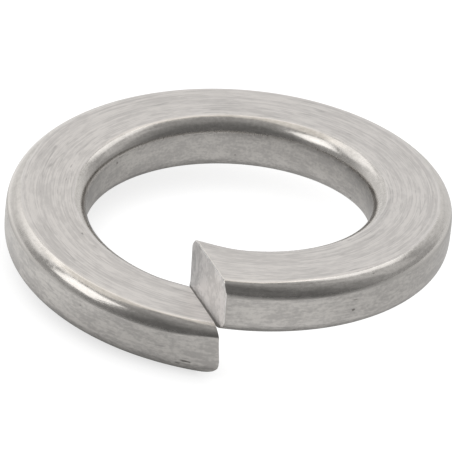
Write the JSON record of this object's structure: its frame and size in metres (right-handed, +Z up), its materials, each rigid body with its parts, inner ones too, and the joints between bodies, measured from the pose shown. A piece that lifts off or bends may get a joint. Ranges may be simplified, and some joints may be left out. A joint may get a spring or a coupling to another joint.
{
  "type": "spring lock washer",
  "caption": "Split spring lock washer: flat stainless wire with rounded edges, coiled left-handed and cut on a slant, that grips under a nut or screw head.",
  "frame": {"origin": "on the coil's axis, level with the lowest point of the coil, so the part stands on z = 0", "axes": "+Z up along the axis of the bore; the cut opens towards -Y, with the low end on its -X side and the raised end on its +X side"},
  "size_m": [0.0384, 0.0384, 0.0096],
  "materials": {
    "steel": "satin stainless steel: fine ring scratches on the faces, smoother rounded edges, sheared cut faces"
  },
  "bodies": {
    "root": {"spring_lock_washer": "steel"}
  },
  "joints": []
}
